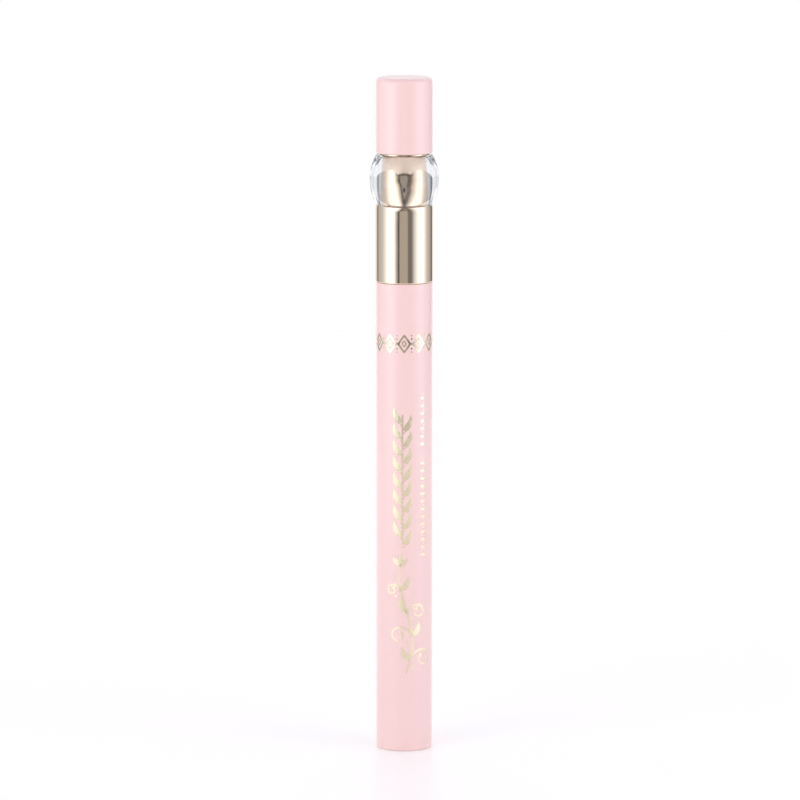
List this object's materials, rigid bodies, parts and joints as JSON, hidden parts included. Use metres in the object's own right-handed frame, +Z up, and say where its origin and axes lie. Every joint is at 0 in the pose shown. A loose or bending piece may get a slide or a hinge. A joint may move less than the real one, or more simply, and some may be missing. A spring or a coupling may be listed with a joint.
{
  "type": "liquid eyeliner pen",
  "caption": "Slim capped liquid eyeliner pen standing upright, with a ribbed tail plug, finned ink feed, brush tip, and a cap with a gold ferrule and a clear barrel-shaped bead.",
  "frame": {"origin": "middle of the foot, on the surface that the pen stands on", "axes": "+Z up along the pen's axis, towards the cap end; -Y faces the front of the picture; the collector's air slot faces +X"},
  "size_m": [0.0138, 0.0138, 0.136],
  "materials": {
    "pink_plastic": "pale pink moulded plastic, soft gloss",
    "white_plastic": "natural white moulded plastic",
    "bonded_fibre": "bonded fibre rod",
    "black_bristle": "black nylon bristles",
    "polished_steel": "polished stainless ball",
    "pale_gold": "bright pale gold plated aluminium",
    "clear_acrylic": "clear acrylic",
    "spring_steel": "spring wire"
  },
  "bodies": {
    "pen": {"barrel": "pink_plastic", "tail_plug": "white_plastic", "front_section": "pink_plastic", "ink_collector": "white_plastic", "wick": "bonded_fibre", "wick_bush": "white_plastic", "brush": "black_bristle"},
    "cap": {"ferrule": "pale_gold", "cap_liner": "white_plastic", "bead_core": "pale_gold", "crystal_bead": "clear_acrylic", "top_collar": "pale_gold", "cap_end": "pink_plastic", "cap_spring": "spring_steel"},
    "inner_cap": {"inner_cap": "white_plastic"},
    "ball": {"mixing_ball": "polished_steel"}
  },
  "joints": [
    {"name": "cap_pull", "type": "slide", "parent": "pen", "child": "cap", "axis": [0, 0, 1], "range_m": [0, 0.045]},
    {"name": "inner_cap_slide", "type": "slide", "parent": "cap", "child": "inner_cap", "axis": [0, 0, -1], "range_m": [0, 0.0015], "deforming": ["cap_spring"]},
    {"name": "ball_travel", "type": "slide", "parent": "pen", "child": "ball", "axis": [0, 0, 1], "range_m": [0, 0.0728]}
  ],
  "couplings": [
    {"joint": "inner_cap_slide", "follows": "cap_pull", "ratio": 0.03333}
  ]
}
